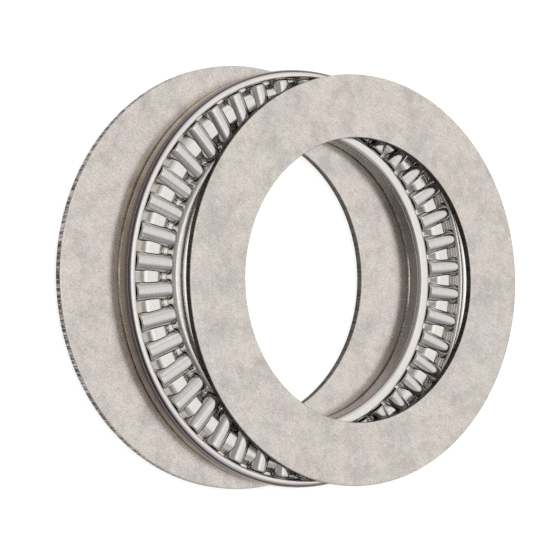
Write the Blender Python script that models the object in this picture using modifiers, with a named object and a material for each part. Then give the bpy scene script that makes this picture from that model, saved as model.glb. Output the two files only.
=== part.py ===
"""Thrust needle roller bearing, 45 mm bore and 65 mm outside diameter, in metres, +Z up.

Two flat washers and one roller-and-cage ring lie on each other, and each ring is slid along +Y
from the one below it, so that all three can be seen. Their axes are vertical. The origin is on
the supporting surface, under the axis of the cage, which is also the middle of the layout.
"""
import math

import bmesh
import bpy
from mathutils import Matrix, Vector

# Driving dimensions of the bearing
BORE = 0.045
OUTSIDE = 0.065
WASHER_THICKNESS = 0.0012
WASHER_CHAMFER = 0.0001
ROLLER_COUNT = 42
ROLLER_DIAMETER = 0.003
ROLLER_LENGTH = 0.006
ROLLER_CIRCLE = 0.0559
ROLLER_CHAMFER = 0.00025
FIRST_ROLLER_ANGLE = math.radians(0.9)

# Pressed sheet cage
SHEET = 0.00045
CAGE_HEIGHT = 0.0027
OUTER_HEM = 0.00098
INNER_HEM = 0.00165
INNER_SLOPE = 0.0006
LOW_WEB = -0.0004
HIGH_WEB = 0.0007
PAD_INNER = 0.027
PAD_OUTER = 0.0294
RAMP_RUN = 0.0011
WIDE_BEND = 0.0006
TIGHT_BEND = 0.00035
WEB_BEND = 0.0005
POCKET_CLEARANCE = 0.0001
POCKET_INNER = 0.0248
POCKET_OUTER = 0.03105

# Layout
RING_SHIFT = 0.00975
ROLLING_GAP = 0.00005

# Fineness of the round shapes
WASHER_SIDES = 84
CAGE_SIDES = 42
ROLLER_SIDES = 12
POCKET_SIDES = 14
FOLD_STEPS = 2

MERGE = 0.000001
SHARP_ANGLE = math.radians(30)

ROLLER_RADIUS = ROLLER_DIAMETER / 2
MID_HEIGHT = WASHER_THICKNESS + ROLLING_GAP + ROLLER_RADIUS
TOP_WASHER_HEIGHT = MID_HEIGHT + ROLLER_RADIUS + ROLLING_GAP


def clear_scene():
    for old in list(bpy.data.objects):
        bpy.data.objects.remove(old, do_unlink=True)


def new_collection(name):
    collection = bpy.data.collections.new(name)
    bpy.context.scene.collection.children.link(collection)
    return collection


def metal(name, colour, roughness, metallic=1.0):
    material = bpy.data.materials.new(name)
    material.use_nodes = True
    shader = material.node_tree.nodes["Principled BSDF"]
    shader.inputs["Base Color"].default_value = (*colour, 1.0)
    shader.inputs["Roughness"].default_value = roughness
    shader.inputs["Metallic"].default_value = metallic
    return material


def add_object(name, mesh, collection, material=None, parent=None):
    item = bpy.data.objects.new(name, mesh)
    collection.objects.link(item)
    item.parent = parent
    if material:
        mesh.materials.append(material)
    return item


def add_empty(name, location, collection):
    empty = bpy.data.objects.new(name, None)
    empty.location = location
    collection.objects.link(empty)
    return empty


def profile_mesh(name, points):
    """A closed outline in the XZ plane, as edges ready for a Screw modifier."""
    mesh = bpy.data.meshes.new(name)
    edges = [(i, (i + 1) % len(points)) for i in range(len(points))]
    mesh.from_pydata([(radius, 0.0, height) for radius, height in points], edges, [])
    return mesh


def turn(item, sides):
    screw = item.modifiers.new("Turned", "SCREW")
    screw.axis = "Z"
    screw.angle = 2 * math.pi
    screw.steps = sides
    screw.render_steps = sides
    screw.use_merge_vertices = True
    screw.merge_threshold = MERGE
    screw.use_smooth_shade = True
    return item


def washer_outline():
    """Flat ring section with broken corners, clockwise from its upper outer corner."""
    inner, outer = BORE / 2, OUTSIDE / 2
    top, cut = WASHER_THICKNESS, WASHER_CHAMFER
    return [
        (outer - cut, top), (outer, top - cut), (outer, cut), (outer - cut, 0.0),
        (inner + cut, 0.0), (inner, cut), (inner, top - cut), (inner + cut, top),
    ]


def add_washer(name, location, material, collection):
    mesh = profile_mesh(name, washer_outline())
    washer = add_object(name, mesh, collection, material)
    washer.location = location
    return turn(washer, WASHER_SIDES)


def rounded(corners, bends):
    """The polyline through the corners, with each inner corner turned into an arc."""
    path = [Vector(corners[0])]
    for before, corner, after, bend in zip(corners, corners[1:], corners[2:], bends):
        radius, steps = bend
        corner = Vector(corner)
        back = (Vector(before) - corner).normalized()
        ahead = (Vector(after) - corner).normalized()
        half = back.angle(ahead) / 2
        reach = radius / math.tan(half)
        centre = corner + (back + ahead).normalized() * (radius / math.sin(half))
        start = corner + back * reach - centre
        turned = start.angle_signed(corner + ahead * reach - centre)
        for i in range(steps + 1):
            path.append(centre + Matrix.Rotation(-turned * i / steps, 2) @ start)
    path.append(Vector(corners[-1]))
    return [p for i, p in enumerate(path) if i == 0 or (p - path[i - 1]).length > MERGE]


def thickened(path, thickness):
    """The outline of a strip of even thickness that follows the path."""
    left, right = [], []
    for i, point in enumerate(path):
        into = (point - path[i - 1]).normalized() if i else None
        out = (path[i + 1] - point).normalized() if i + 1 < len(path) else None
        into, out = into or out, out or into
        along = (into + out).normalized()
        offset = Vector((-along.y, along.x)) * (thickness / 2 / along.dot(out))
        left.append(point + offset)
        right.append(point - offset)
    return left + right[::-1]


def cage_outline():
    """Section of the one-piece cage, from its outer free edge to its inner one.

    Both rims are flanges folded over at the top, the inner one with a wide flat crown. Between
    them the web lies low beside each flange and high in the middle, so that it holds a roller
    from below near its ends and from above between.
    """
    half = SHEET / 2
    crown, foot = CAGE_HEIGHT / 2 - half, -CAGE_HEIGHT / 2
    outer_wall, inner_wall = OUTSIDE / 2 - half, BORE / 2 + half
    outer_leg, inner_leg = outer_wall - OUTER_HEM, inner_wall + INNER_HEM
    corners = [
        (outer_wall, foot), (outer_wall, crown), (outer_leg, crown), (outer_leg, LOW_WEB),
        (PAD_OUTER + RAMP_RUN, LOW_WEB), (PAD_OUTER, HIGH_WEB),
        (PAD_INNER, HIGH_WEB), (PAD_INNER - RAMP_RUN, LOW_WEB),
        (inner_leg + INNER_SLOPE, LOW_WEB), (inner_leg, crown),
        (inner_wall, crown), (inner_wall, foot),
    ]
    wide, tight = (WIDE_BEND, FOLD_STEPS), (TIGHT_BEND, FOLD_STEPS)
    bends = [wide, tight, tight] + [(WEB_BEND, 1)] * 5 + [tight, tight]
    return thickened(rounded(corners, bends), SHEET)


def cylinder_mesh(name, radius, inner_end, outer_end, sides, angles):
    """Cylinders lying along the radii at the given angles, between two distances."""
    shape = bmesh.new()
    length = outer_end - inner_end
    lay_down = Matrix.Rotation(math.pi / 2, 4, "Y")
    push_out = Matrix.Translation((inner_end + length / 2, 0.0, 0.0))
    for angle in angles:
        bmesh.ops.create_cone(
            shape, cap_ends=True, segments=sides, radius1=radius, radius2=radius, depth=length,
            matrix=Matrix.Rotation(angle, 4, "Z") @ push_out @ lay_down,
        )
    mesh = bpy.data.meshes.new(name)
    shape.to_mesh(mesh)
    shape.free()
    return mesh


def roller_angles():
    return [FIRST_ROLLER_ANGLE + 2 * math.pi * i / ROLLER_COUNT for i in range(ROLLER_COUNT)]


def add_pocket_cutter(parent, collection):
    radius = ROLLER_RADIUS + POCKET_CLEARANCE
    mesh = cylinder_mesh(
        "pocket_cutter", radius, POCKET_INNER, POCKET_OUTER, POCKET_SIDES, roller_angles())
    cutter = add_object("pocket_cutter", mesh, collection, parent=parent)
    cutter.hide_render = True
    cutter.display_type = "WIRE"
    return cutter


def add_cage(parent, cutter, material, collection):
    cage = add_object("cage", profile_mesh("cage", cage_outline()), collection, material, parent)
    turn(cage, CAGE_SIDES)
    pockets = cage.modifiers.new("Pockets", "BOOLEAN")
    pockets.operation = "DIFFERENCE"
    pockets.solver = "EXACT"
    pockets.object = cutter
    return cage


def add_rollers(parent, material, collection):
    mesh = cylinder_mesh(
        "roller", ROLLER_RADIUS, -ROLLER_LENGTH / 2, ROLLER_LENGTH / 2, ROLLER_SIDES, [0.0])
    mesh.materials.append(material)
    mesh.shade_smooth()
    mesh.set_sharp_from_angle(angle=SHARP_ANGLE)
    distance = ROLLER_CIRCLE / 2
    for number, angle in enumerate(roller_angles(), start=1):
        roller = add_object(f"roller_{number:02d}", mesh, collection, parent=parent)
        roller.location = (distance * math.cos(angle), distance * math.sin(angle), 0.0)
        roller.rotation_euler = (0.0, 0.0, angle)
        ends = roller.modifiers.new("End chamfers", "BEVEL")
        ends.width = ROLLER_CHAMFER
        ends.segments = 1
        ends.limit_method = "ANGLE"
        ends.angle_limit = math.radians(60)


def build():
    clear_scene()
    parts = new_collection("thrust_needle_roller_bearing")
    cutters = new_collection("cutters")
    ground_steel = metal("ground_steel", (0.62, 0.60, 0.57), 0.42)
    pressed_steel = metal("pressed_steel", (0.58, 0.56, 0.54), 0.3)
    polished_steel = metal("polished_steel", (0.82, 0.81, 0.79), 0.14)
    add_washer("rear_washer", (0.0, -RING_SHIFT, 0.0), ground_steel, parts)
    add_washer("front_washer", (0.0, RING_SHIFT, TOP_WASHER_HEIGHT), ground_steel, parts)
    cage_axis = add_empty("cage_axis", (0.0, 0.0, MID_HEIGHT), parts)
    cutter = add_pocket_cutter(cage_axis, cutters)
    add_cage(cage_axis, cutter, pressed_steel, parts)
    add_rollers(cage_axis, polished_steel, parts)


build()
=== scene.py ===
"""Looks of the thrust needle roller bearing: ground washers, pressed cage, polished rollers."""

import math

import bmesh
import bpy
import numpy as np
from mathutils import Matrix, Vector


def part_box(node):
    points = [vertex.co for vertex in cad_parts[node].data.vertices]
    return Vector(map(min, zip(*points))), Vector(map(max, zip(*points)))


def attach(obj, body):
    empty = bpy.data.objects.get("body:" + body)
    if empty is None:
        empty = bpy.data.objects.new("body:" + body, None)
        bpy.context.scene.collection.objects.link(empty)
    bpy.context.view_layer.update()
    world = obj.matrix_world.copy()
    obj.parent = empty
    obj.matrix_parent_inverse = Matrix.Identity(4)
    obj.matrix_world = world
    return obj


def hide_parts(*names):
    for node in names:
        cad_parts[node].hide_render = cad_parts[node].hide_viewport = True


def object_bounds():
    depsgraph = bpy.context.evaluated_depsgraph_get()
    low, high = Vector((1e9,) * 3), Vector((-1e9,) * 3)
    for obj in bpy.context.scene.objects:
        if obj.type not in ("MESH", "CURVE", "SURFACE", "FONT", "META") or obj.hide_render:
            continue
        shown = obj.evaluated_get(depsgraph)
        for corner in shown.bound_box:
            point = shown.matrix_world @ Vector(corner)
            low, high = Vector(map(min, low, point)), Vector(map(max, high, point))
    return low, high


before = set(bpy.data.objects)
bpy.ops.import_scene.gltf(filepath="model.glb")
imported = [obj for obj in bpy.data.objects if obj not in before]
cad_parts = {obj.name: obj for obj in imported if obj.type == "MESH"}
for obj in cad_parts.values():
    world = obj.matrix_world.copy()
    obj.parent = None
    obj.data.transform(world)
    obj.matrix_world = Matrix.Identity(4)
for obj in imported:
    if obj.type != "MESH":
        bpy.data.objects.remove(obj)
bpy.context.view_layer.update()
scene = bpy.context.scene

# ---------------------------------------------------------------- sizes, in metres
BORE_RADIUS = 0.0225
OUTER_RADIUS = 0.0325
WASHER_THICKNESS = 0.0012
ROLLER_RADIUS = 0.0015
ROLLER_LENGTH = 0.006
ROLLER_CIRCLE_RADIUS = 0.02795
ROLLER_COUNT = 42
FIRST_ROLLER_ANGLE = math.radians(0.9)

# Pressed sheet cage, heights counted from its middle
SHEET = 0.00045
CAGE_HEIGHT = 0.0027
OUTER_HEM = 0.00098
INNER_HEM = 0.00165
INNER_SLOPE = 0.0006
LOW_WEB = -0.0004
HIGH_WEB = 0.0007
PAD_INNER = 0.027
PAD_OUTER = 0.0294
RAMP_RUN = 0.0011
POCKET_INNER = 0.0248
POCKET_OUTER = 0.03105
POCKET_CLEARANCE = 0.0001

# Fineness of the round shapes
RING_SIDES = 504
POCKET_SIDES = 48
ROLLER_SIDES = 64
MERGE = 0.000001

# Edges between faces that turn by more than this are drawn sharp
SHARP_ANGLE = math.radians(40)
SHARP_POCKET_ANGLE = math.radians(35)


def centre_of(body):
    low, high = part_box(body)
    return (low + high) / 2


def roller_angles():
    return [FIRST_ROLLER_ANGLE + 2 * math.pi * i / ROLLER_COUNT for i in range(ROLLER_COUNT)]


# ---------------------------------------------------------------- mesh helpers
def finish_mesh(shape, name):
    mesh = bpy.data.meshes.new(name)
    bmesh.ops.recalc_face_normals(shape, faces=shape.faces)
    shape.to_mesh(mesh)
    shape.free()
    mesh.shade_smooth()
    mesh.set_sharp_from_angle(angle=SHARP_ANGLE)
    return mesh


def turned(name, outline, wobble=None):
    """A ring turned about Z from a closed outline of (radius, height) points."""
    shape = bmesh.new()
    rings = []
    for k in range(RING_SIDES):
        angle = 2 * math.pi * k / RING_SIDES
        ring = []
        for radius, height in outline:
            if wobble:
                radius = wobble(radius, angle)
            spot = (radius * math.cos(angle), radius * math.sin(angle), height)
            ring.append(shape.verts.new(spot))
        rings.append(ring)
    for here, there in zip(rings, rings[1:] + rings[:1]):
        for j in range(len(outline)):
            n = (j + 1) % len(outline)
            shape.faces.new((here[j], here[n], there[n], there[j]))
    return finish_mesh(shape, name)


def place(name, mesh, location, body, turn=0.0):
    """Stands a mesh in the scene in place of the CAD node of the same body."""
    piece = bpy.data.objects.new(name, mesh)
    piece.location = location
    piece.rotation_euler = (0, 0, turn)
    scene.collection.objects.link(piece)
    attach(piece, body)
    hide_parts(body)


def arc(centre, radius, start, end, steps):
    """Points on an arc, angles in degrees in the (radius, height) plane."""
    points = []
    for i in range(steps + 1):
        angle = math.radians(start + (end - start) * i / steps)
        across = centre[0] + radius * math.cos(angle)
        points.append((across, centre[1] + radius * math.sin(angle)))
    return points


def rounded(corners, bends):
    """The polyline through the corners, with each inner corner turned into an arc."""
    path = [Vector(corners[0])]
    for before, corner, after, bend in zip(corners, corners[1:], corners[2:], bends):
        radius, steps = bend
        corner = Vector(corner)
        back = (Vector(before) - corner).normalized()
        ahead = (Vector(after) - corner).normalized()
        half = back.angle(ahead) / 2
        reach = radius / math.tan(half)
        centre = corner + (back + ahead).normalized() * (radius / math.sin(half))
        start = corner + back * reach - centre
        swing = start.angle_signed(corner + ahead * reach - centre)
        for i in range(steps + 1):
            path.append(centre + Matrix.Rotation(-swing * i / steps, 2) @ start)
    path.append(Vector(corners[-1]))
    return [p for i, p in enumerate(path) if i == 0 or (p - path[i - 1]).length > MERGE]


def end_cap(start, end, steps=6):
    """Rounds a free edge of a strip, from one face over to the other."""
    centre = (start + end) / 2
    return [centre + Matrix.Rotation(-math.pi * i / steps, 2) @ (start - centre)
            for i in range(1, steps)]


def thickened(path, thickness):
    """The outline of a strip of even thickness that follows the path, with round ends."""
    left, right = [], []
    for i, point in enumerate(path):
        into = (point - path[i - 1]).normalized() if i else None
        out = (path[i + 1] - point).normalized() if i + 1 < len(path) else None
        into, out = into or out, out or into
        along = (into + out).normalized()
        offset = Vector((-along.y, along.x)) * (thickness / 2 / along.dot(out))
        left.append(point + offset)
        right.append(point - offset)
    return left + end_cap(left[-1], right[-1]) + right[::-1] + end_cap(right[0], left[0])


# ---------------------------------------------------------------- shader helpers
WHITE = (1.0, 1.0, 1.0)


def node(tree, kind, **settings):
    made = tree.nodes.new(kind)
    for key, value in settings.items():
        setattr(made, key, value)
    return made


def noise(tree, coords, per_metre, detail, roughness, stretch=None):
    """A noise texture on the object's own coordinates, with its features counted per metre."""
    if stretch:
        mapping = node(tree, "ShaderNodeMapping")
        mapping.inputs["Scale"].default_value = stretch
        tree.links.new(coords, mapping.inputs["Vector"])
        coords = mapping.outputs["Vector"]
    made = node(tree, "ShaderNodeTexNoise")
    made.inputs["Scale"].default_value = per_metre
    made.inputs["Detail"].default_value = detail
    made.inputs["Roughness"].default_value = roughness
    tree.links.new(coords, made.inputs["Vector"])
    return made.outputs["Fac"]


def ramp(tree, value, *stops):
    """Colours at their places from 0 to 1, blended between."""
    made = node(tree, "ShaderNodeValToRGB")
    elements = made.color_ramp.elements
    while len(elements) < len(stops):
        elements.new(0.5)
    for element, (position, colour) in zip(elements, stops):
        element.position = position
        element.color = (*colour, 1.0)
    tree.links.new(value, made.inputs["Fac"])
    return made.outputs["Color"]


def grey(value):
    return (value, value, value)


def greys(tree, value, *stops):
    return ramp(tree, value, *[(position, grey(level)) for position, level in stops])


def spread(tree, value, low, high):
    """The value's place between low and high, held to 0 and 1."""
    made = node(tree, "ShaderNodeMapRange")
    made.inputs["From Min"].default_value = low
    made.inputs["From Max"].default_value = high
    tree.links.new(value, made.inputs["Value"])
    return made.outputs["Result"]


def mixed(tree, kind, factor, a, b):
    made = node(tree, "ShaderNodeMix", data_type="RGBA", blend_type=kind)
    for name, value in (("Factor", factor), ("A", a), ("B", b)):
        # the Mix node repeats its socket names per data type, and the enabled one is meant
        target = next(s for s in made.inputs if s.name == name and s.enabled)
        if isinstance(value, bpy.types.NodeSocket):
            tree.links.new(value, target)
        else:
            target.default_value = value
    return next(s for s in made.outputs if s.enabled)


def product(tree, first, *others):
    for other in others:
        first = mixed(tree, "MULTIPLY", 1.0, first, other)
    return first


def new_metal(name, roughness):
    material = bpy.data.materials.new(name)
    material.use_nodes = True
    tree = material.node_tree
    shader = tree.nodes["Principled BSDF"]
    shader.inputs["Metallic"].default_value = 1.0
    shader.inputs["Roughness"].default_value = roughness
    coords = node(tree, "ShaderNodeTexCoord").outputs["Object"]
    return material, tree, shader, coords


def vary_roughness(tree, shader, value, smooth, dull):
    tree.links.new(greys(tree, value, (0.3, smooth), (0.7, dull)), shader.inputs["Roughness"])


def bump(tree, shader, height, strength, distance):
    made = node(tree, "ShaderNodeBump")
    made.inputs["Strength"].default_value = strength
    made.inputs["Distance"].default_value = distance
    tree.links.new(height, made.inputs["Height"])
    tree.links.new(made.outputs["Normal"], shader.inputs["Normal"])


# ---------------------------------------------------------------- materials
GRIND_ANGLE = math.radians(-50)
DARK_STEEL = (0.035, 0.03, 0.03)
DULL_STEEL = (0.10, 0.088, 0.085)
PALE_MARKS = (0.55, 0.50, 0.49)
FAINT_MARKS = (0.12, 0.105, 0.10)


def washer_steel(name, offset):
    """Ground and tumbled hardened steel: fine speckle and grinding lines over soft patches."""
    material, tree, shader, coords = new_metal(name, 0.42)
    shift = node(tree, "ShaderNodeMapping")
    shift.inputs["Location"].default_value = offset
    shift.inputs["Rotation"].default_value = (0, 0, GRIND_ANGLE)
    tree.links.new(coords, shift.inputs["Vector"])
    coords = shift.outputs["Vector"]
    patches = ramp(tree, noise(tree, coords, 190, 6, 0.62),
                   (0.30, (0.70, 0.655, 0.625)), (0.44, (0.79, 0.72, 0.68)),
                   (0.56, (0.82, 0.765, 0.70)), (0.70, (0.79, 0.695, 0.66)))
    tone = greys(tree, noise(tree, coords, 340, 8, 0.74), (0.34, 0.79), (0.56, 1.0))
    grain = greys(tree, noise(tree, coords, 5200, 4, 0.85), (0.38, 0.66), (0.56, 1.0))
    lines = greys(tree, noise(tree, coords, 4200, 3, 0.7, stretch=(0.2, 1.0, 1.0)),
                  (0.38, 0.90), (0.58, 1.0))
    tree.links.new(product(tree, patches, tone, grain, lines), shader.inputs["Base Color"])
    vary_roughness(tree, shader, noise(tree, coords, 900, 5, 0.7), 0.16, 0.25)
    bump(tree, shader, noise(tree, coords, 5200, 5, 0.8), 0.35, 0.00004)
    return material


def rim_steel(name, marks):
    """The sheared rim of a washer: dark, with fine marks across the edge."""
    material, tree, shader, coords = new_metal(name, 0.5)
    streaks = noise(tree, coords, 3600, 3, 0.7, stretch=(1.0, 1.0, 0.06))
    colour = ramp(tree, streaks, (0.38, DARK_STEEL), (0.48, DULL_STEEL), (0.58, marks))
    tree.links.new(colour, shader.inputs["Base Color"])
    bump(tree, shader, streaks, 0.6, 0.00006)
    return material


def axis_distance(tree, coords):
    across = node(tree, "ShaderNodeVectorMath", operation="MULTIPLY")
    tree.links.new(coords, across.inputs[0])
    across.inputs[1].default_value = (1, 1, 0)
    distance = node(tree, "ShaderNodeVectorMath", operation="LENGTH")
    tree.links.new(across.outputs["Vector"], distance.inputs[0])
    return distance.outputs["Value"]


def cage_steel(name):
    """Pressed sheet, semi-bright; its outer wall carries painted light, a warm painted
    reflection near its foot that darkens upwards into painted shade.

    Painted shade makes the wall along the bore a little darker than the rest.
    """
    material, tree, shader, coords = new_metal(name, 0.26)
    film = ramp(tree, noise(tree, coords, 160, 4, 0.6),
                (0.35, (0.80, 0.77, 0.75)), (0.65, (0.84, 0.80, 0.75)))
    fine = greys(tree, noise(tree, coords, 2600, 5, 0.7), (0.3, 0.92), (0.6, 1.0))
    metal = product(tree, film, fine)
    radius = axis_distance(tree, coords)
    split = node(tree, "ShaderNodeSeparateXYZ")
    tree.links.new(coords, split.inputs["Vector"])
    wall = spread(tree, radius, OUTER_RADIUS - 0.0005, OUTER_RADIUS - 0.0003)
    level = spread(tree, split.outputs["Z"], -CAGE_HEIGHT / 2, CAGE_HEIGHT / 2)
    # painted light on the outer wall: a warm painted reflection low down, turning into painted
    # shade towards the top
    painted_wall_light = ramp(tree, level, (0.0, (0.94, 0.88, 0.78)), (0.45, (0.82, 0.76, 0.70)),
                (0.70, (0.44, 0.40, 0.41)), (0.9, (0.19, 0.17, 0.20)))
    metal = mixed(tree, "MIX", wall, metal, product(tree, metal, painted_wall_light))
    # painted shade: the cage is coloured darker towards the wall along the bore
    bore = spread(tree, radius, BORE_RADIUS + 0.0001, BORE_RADIUS + 0.0006)
    shade = ramp(tree, bore, (0.0, (0.62, 0.60, 0.60)), (1.0, WHITE))
    tree.links.new(product(tree, metal, shade), shader.inputs["Base Color"])
    vary_roughness(tree, shader, noise(tree, coords, 1400, 4, 0.7), 0.17, 0.33)
    bump(tree, shader, noise(tree, coords, 700, 2, 0.5), 0.05, 0.00002)
    return material


def punched_steel_painted_shade(name):
    """The punched walls of the pockets: dull, with punch marks, and coloured near black as
    painted shade, where light hardly reaches.
    """
    material, tree, shader, coords = new_metal(name, 0.5)
    marks = noise(tree, coords, 2200, 4, 0.7, stretch=(1.0, 1.0, 0.15))
    # painted shade: near-black colour over the real punch marks
    colour = ramp(tree, marks, (0.35, (0.05, 0.045, 0.042)), (0.65, (0.13, 0.12, 0.11)))
    tree.links.new(colour, shader.inputs["Base Color"])
    bump(tree, shader, marks, 0.5, 0.00004)
    return material


def roller_steel(name):
    """Fine-ground roller: bright, with grinding marks that run round it."""
    material, tree, shader, coords = new_metal(name, 0.16)
    rings = noise(tree, coords, 9000, 3, 0.6, stretch=(1.0, 0.06, 0.06))
    colour = ramp(tree, rings, (0.3, (0.60, 0.58, 0.56)), (0.7, (0.76, 0.74, 0.72)))
    tree.links.new(colour, shader.inputs["Base Color"])
    vary_roughness(tree, shader, noise(tree, coords, 1500, 4, 0.7), 0.12, 0.22)
    bump(tree, shader, rings, 0.12, 0.00002)
    return material


# ---------------------------------------------------------------- washers
EDGE_ROUND = 0.00012
EDGE_STEPS = 4
# a row of points this far in from the rounded edges keeps the shading of the flat faces flat
FLAT_HOLD = 0.0003
SHEAR_WAVES = 14
SHEAR_COUNTS = (9, 240)
SHEAR_DEPTH = 0.000012
LAST_PHASE = 6.28


def washer_outline():
    """Flat ring section with small rounded edges, clockwise from its upper outer corner."""
    r, top = EDGE_ROUND, WASHER_THICKNESS
    inner, outer = BORE_RADIUS, OUTER_RADIUS
    flat_in, flat_out = inner + r + FLAT_HOLD, outer - r - FLAT_HOLD
    rises = [(top - 2 * r) * i / EDGE_STEPS for i in range(1, EDGE_STEPS)]
    return ([(flat_out, top)]
            + arc((outer - r, top - r), r, 90, 0, EDGE_STEPS)
            + [(outer, top - r - rise) for rise in rises]
            + arc((outer - r, r), r, 0, -90, EDGE_STEPS)
            + [(flat_out, 0.0), (flat_in, 0.0)]
            + arc((inner + r, r), r, 270, 180, EDGE_STEPS)
            + [(inner, r + rise) for rise in rises]
            + arc((inner + r, top - r), r, 180, 90, EDGE_STEPS)
            + [(flat_in, top)])


def shear_marks(seed):
    """Runs the sheared edges in and out of the metal by a few microns, at several pitches."""
    random = np.random.default_rng(seed)
    waves = [(int(random.integers(*SHEAR_COUNTS)), random.uniform(0, LAST_PHASE))
             for _ in range(SHEAR_WAVES)]
    edge = EDGE_ROUND * 0.8

    def wobble(radius, angle):
        drift = sum(math.sin(count * angle + phase) for count, phase in waves) / len(waves)
        into = SHEAR_DEPTH * (drift - 1.0)
        if radius > OUTER_RADIUS - edge:
            radius += into
        elif radius < BORE_RADIUS + edge:
            radius -= into
        return radius

    return wobble


def add_washer(body, seed, offset, marks):
    """A washer whose face, outer rim and bore each have their own finish."""
    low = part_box(body)[0]
    centre = centre_of(body)
    mesh = turned(body + "_ring", washer_outline(), shear_marks(seed))
    mesh.materials.append(washer_steel(body + "_face", offset))
    mesh.materials.append(rim_steel(body + "_rim", marks))
    mesh.materials.append(rim_steel(body + "_bore", FAINT_MARKS))
    middle = (BORE_RADIUS + OUTER_RADIUS) / 2
    for face in mesh.polygons:
        if abs(face.normal.z) < 0.5:
            face.material_index = 1 if face.center.xy.length > middle else 2
    place(body + "_ring", mesh, (centre.x, centre.y, low.z), body)


# ---------------------------------------------------------------- cage
# bends of the sheet's middle line, each a radius and a number of steps
WIDE_BEND = (0.0006, 10)
TIGHT_BEND = (0.00035, 8)
HEEL_BEND = (0.0005, 8)
PAD_BEND = (0.0014, 12)
ROLLED_BEND = (0.0006, 12)
# a row of points this far above the free edges keeps the shading of the walls flat
WALL_HOLD = 0.00012


def cage_outline():
    """Section of the one-piece cage, from its outer free edge to its inner one."""
    half = SHEET / 2
    crown, foot = CAGE_HEIGHT / 2 - half, half - CAGE_HEIGHT / 2
    outer_wall, inner_wall = OUTER_RADIUS - half, BORE_RADIUS + half
    outer_leg, inner_leg = outer_wall - OUTER_HEM, inner_wall + INNER_HEM
    corners = [
        (outer_wall, foot), (outer_wall, crown), (outer_leg, crown), (outer_leg, LOW_WEB),
        (PAD_OUTER + RAMP_RUN, LOW_WEB), (PAD_OUTER, HIGH_WEB),
        (PAD_INNER, HIGH_WEB), (PAD_INNER - RAMP_RUN, LOW_WEB),
        (inner_leg + INNER_SLOPE, LOW_WEB), (inner_leg, crown),
        (inner_wall, crown), (inner_wall, foot),
    ]
    bends = [WIDE_BEND, TIGHT_BEND, TIGHT_BEND, HEEL_BEND, PAD_BEND,
             PAD_BEND, HEEL_BEND, HEEL_BEND, ROLLED_BEND, ROLLED_BEND]
    path = rounded(corners, bends)
    path.insert(1, Vector((outer_wall, foot + WALL_HOLD)))
    path.insert(-1, Vector((inner_wall, foot + WALL_HOLD)))
    return thickened(path, SHEET)


def pocket_cutter():
    """One cylinder for each pocket, which gives its walls the cage's second material."""
    shape = bmesh.new()
    length = POCKET_OUTER - POCKET_INNER
    radius = ROLLER_RADIUS + POCKET_CLEARANCE
    push_out = Matrix.Translation((POCKET_INNER + length / 2, 0, 0))
    lay_down = Matrix.Rotation(math.pi / 2, 4, "Y")
    for angle in roller_angles():
        bmesh.ops.create_cone(
            shape, cap_ends=True, segments=POCKET_SIDES, radius1=radius, radius2=radius,
            depth=length, matrix=Matrix.Rotation(angle, 4, "Z") @ push_out @ lay_down)
    for face in shape.faces:
        face.material_index = 1
    mesh = bpy.data.meshes.new("pocket_cutter")
    shape.to_mesh(mesh)
    shape.free()
    cutter = bpy.data.objects.new("pocket_cutter", mesh)
    scene.collection.objects.link(cutter)
    return cutter


def add_cage():
    mesh = turned("cage_sheet", cage_outline())
    blank = bpy.data.objects.new("cage_blank", mesh)
    scene.collection.objects.link(blank)
    cutter = pocket_cutter()
    for material in (cage_steel("pressed_cage_steel"), punched_steel_painted_shade("punched_pocket_steel_painted_shade")):
        mesh.materials.append(material)
        cutter.data.materials.append(material)
    cut = blank.modifiers.new("Pockets", "BOOLEAN")
    cut.operation = "DIFFERENCE"
    cut.solver = "EXACT"
    cut.object = cutter
    evaluated = blank.evaluated_get(bpy.context.evaluated_depsgraph_get())
    done = bpy.data.meshes.new_from_object(evaluated)
    done.name = "cage_sheet_cut"
    for old in (blank, cutter):
        bpy.data.objects.remove(old)
    done.shade_smooth()
    done.set_sharp_from_angle(angle=SHARP_POCKET_ANGLE)
    place("cage_sheet", done, centre_of("cage"), "cage")


# ---------------------------------------------------------------- rollers
ROLLER_CORNER = 0.00022
CROWN_RELIEF = 0.000006
CROWN_STEPS = 10
CORNER_STEPS = 5
END_CENTRE = 0.0005


def roller_outline():
    """Half section of a roller along X, with a light crown and rounded ends."""
    half, radius, corner = ROLLER_LENGTH / 2, ROLLER_RADIUS, ROLLER_CORNER
    side = [(half - corner) * (1 - 2 * i / CROWN_STEPS) for i in range(CROWN_STEPS + 1)]
    crowned = [(x, radius - CROWN_RELIEF * (x / half) ** 4) for x in side]
    end = arc((half - corner, radius - CROWN_RELIEF - corner), corner, 0, 90, CORNER_STEPS)
    other = [(-x, r) for x, r in end[::-1]]
    return [(half, END_CENTRE)] + end[:-1] + crowned + other[1:] + [(-half, END_CENTRE)]


def roller_mesh():
    shape = bmesh.new()
    turns = [2 * math.pi * k / ROLLER_SIDES for k in range(ROLLER_SIDES)]
    rings = [[shape.verts.new((x, r * math.cos(turn), r * math.sin(turn))) for turn in turns]
             for x, r in roller_outline()]
    for a, b in zip(rings, rings[1:]):
        for k in range(ROLLER_SIDES):
            n = (k + 1) % ROLLER_SIDES
            shape.faces.new((a[k], a[n], b[n], b[k]))
    shape.faces.new(rings[0])
    shape.faces.new(rings[-1])
    return finish_mesh(shape, "roller_ground")


def add_rollers():
    mesh = roller_mesh()
    mesh.materials.append(roller_steel("ground_roller_steel"))
    height = centre_of("cage").z
    distance = ROLLER_CIRCLE_RADIUS
    for number, angle in enumerate(roller_angles(), start=1):
        body = f"roller_{number:02d}"
        spot = (distance * math.cos(angle), distance * math.sin(angle), height)
        place(body + "_ground", mesh, spot, body, turn=angle)


# ---------------------------------------------------------------- camera
VIEW_AZIMUTH = 3.02
VIEW_ELEVATION = 54.47
VIEW_ROLL = math.radians(88.1)
VIEW_DISTANCE = 0.292
VIEW_TARGET = Vector((0.000284, -0.003325, 0.0012))
LENS = 120.5
SENSOR = 36
NEAREST = 0.01
FARTHEST = 20


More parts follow.
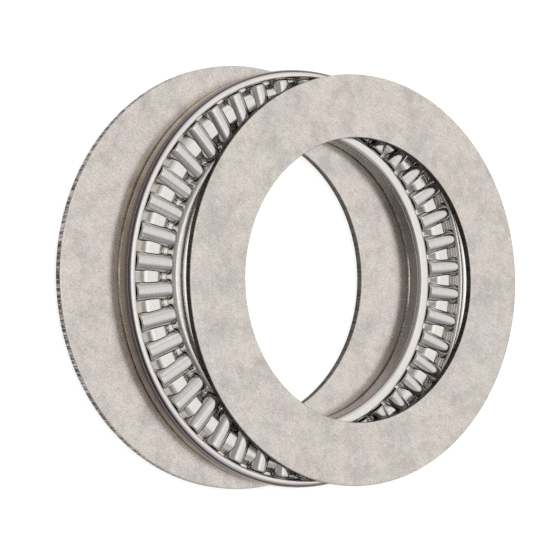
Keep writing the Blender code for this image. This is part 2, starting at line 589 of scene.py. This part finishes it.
def direction(azimuth, elevation):
    """Away from the object, in degrees, with azimuth 0 on its -Y side."""
    a, e = math.radians(azimuth), math.radians(elevation)
    return Vector((math.sin(a) * math.cos(e), -math.cos(a) * math.cos(e), math.sin(e)))


def add_camera():
    data = bpy.data.cameras.new("camera")
    data.lens = LENS
    data.sensor_width = SENSOR
    data.clip_start = NEAREST
    data.clip_end = FARTHEST
    camera = bpy.data.objects.new("camera", data)
    away = direction(VIEW_AZIMUTH, VIEW_ELEVATION)
    facing = away.to_track_quat("Z", "Y").to_matrix() @ Matrix.Rotation(VIEW_ROLL, 3, "Z")
    spot = Matrix.Translation(VIEW_TARGET + away * VIEW_DISTANCE)
    camera.matrix_world = spot @ facing.to_4x4()
    scene.collection.objects.link(camera)
    scene.camera = camera


# ---------------------------------------------------------------- floor, lights and sky
FLOOR_HALF = 3.0
FLOOR_GLOW = 0.6
FLOOR_COLOUR = (0.93, 0.93, 0.93, 1)

# Brightness of the sky, as three ramps multiplied together. The height ramp runs over the
# direction's own Z, and the others from 0 at the axis's negative end to 1 at its positive end.
SKY_BY_HEIGHT = ((0.0, 0.12), (0.18, 0.6), (0.4, 1.0))
SKY_BY_DEPTH = ((0.21, 0.40), (0.28, 0.30), (0.38, 0.70), (0.75, 0.85))
SKY_BY_SIDE = ((0.60, 1.0), (0.76, 0.50), (1.0, 0.46))


def add_floor():
    shape = bmesh.new()
    bmesh.ops.create_grid(shape, x_segments=1, y_segments=1, size=FLOOR_HALF)
    mesh = bpy.data.meshes.new("floor")
    shape.to_mesh(mesh)
    shape.free()
    floor = bpy.data.objects.new("floor", mesh)
    floor.location.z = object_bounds()[0].z
    material = bpy.data.materials.new("pale_floor")
    material.use_nodes = True
    shader = material.node_tree.nodes["Principled BSDF"]
    shader.inputs["Base Color"].default_value = FLOOR_COLOUR
    shader.inputs["Roughness"].default_value = 0.9
    shader.inputs["Specular IOR Level"].default_value = 0.1
    shader.inputs["Emission Color"].default_value = (*WHITE, 1)
    shader.inputs["Emission Strength"].default_value = FLOOR_GLOW
    mesh.materials.append(material)
    scene.collection.objects.link(floor)


def add_softbox(name, azimuth, elevation, distance, size, watts):
    """A rectangular area light that looks at the middle of the object."""
    data = bpy.data.lights.new(name, "AREA")
    data.shape = "RECTANGLE"
    data.size, data.size_y = size
    data.energy = watts
    light = bpy.data.objects.new(name, data)
    away = direction(azimuth, elevation)
    facing = away.to_track_quat("Z", "Y").to_matrix()
    light.matrix_world = Matrix.Translation(away * distance) @ facing.to_4x4()
    scene.collection.objects.link(light)


def side_to_side(tree, value):
    """A direction's part along one axis, moved from -1 to 1 over to 0 to 1."""
    made = node(tree, "ShaderNodeMath", operation="MULTIPLY_ADD")
    tree.links.new(value, made.inputs[0])
    made.inputs[1].default_value = 0.5
    made.inputs[2].default_value = 0.5
    return made.outputs[0]


def add_world():
    world = bpy.data.worlds.new("studio")
    world.use_nodes = True
    scene.world = world
    tree = world.node_tree
    background = tree.nodes["Background"]
    split = node(tree, "ShaderNodeSeparateXYZ")
    coords = node(tree, "ShaderNodeTexCoord").outputs["Generated"]
    tree.links.new(coords, split.inputs["Vector"])
    height = greys(tree, split.outputs["Z"], *SKY_BY_HEIGHT)
    depth = greys(tree, side_to_side(tree, split.outputs["Y"]), *SKY_BY_DEPTH)
    side = greys(tree, side_to_side(tree, split.outputs["X"]), *SKY_BY_SIDE)
    tree.links.new(product(tree, height, depth, side), background.inputs["Color"])
    background.inputs["Strength"].default_value = 1.0


def add_lights():
    add_softbox("key_behind", 180, 55, 0.9, (1.0, 0.7), 0.3)
    add_softbox("left_strip", 262, 35, 0.9, (0.3, 0.6), 0.15)
    add_softbox("right_strip", 98, 35, 0.9, (0.3, 0.6), 0.15)
    add_softbox("overhead", 0, 89, 1.0, (0.6, 0.6), 0.5)


scene.view_settings.view_transform = "Standard"
add_camera()
add_washer("rear_washer", 3, (0.4, 0.1, 0.2), PALE_MARKS)
add_washer("front_washer", 8, (0.0, 0.0, 0.0), FAINT_MARKS)
add_cage()
add_rollers()
add_floor()
add_world()
add_lights()
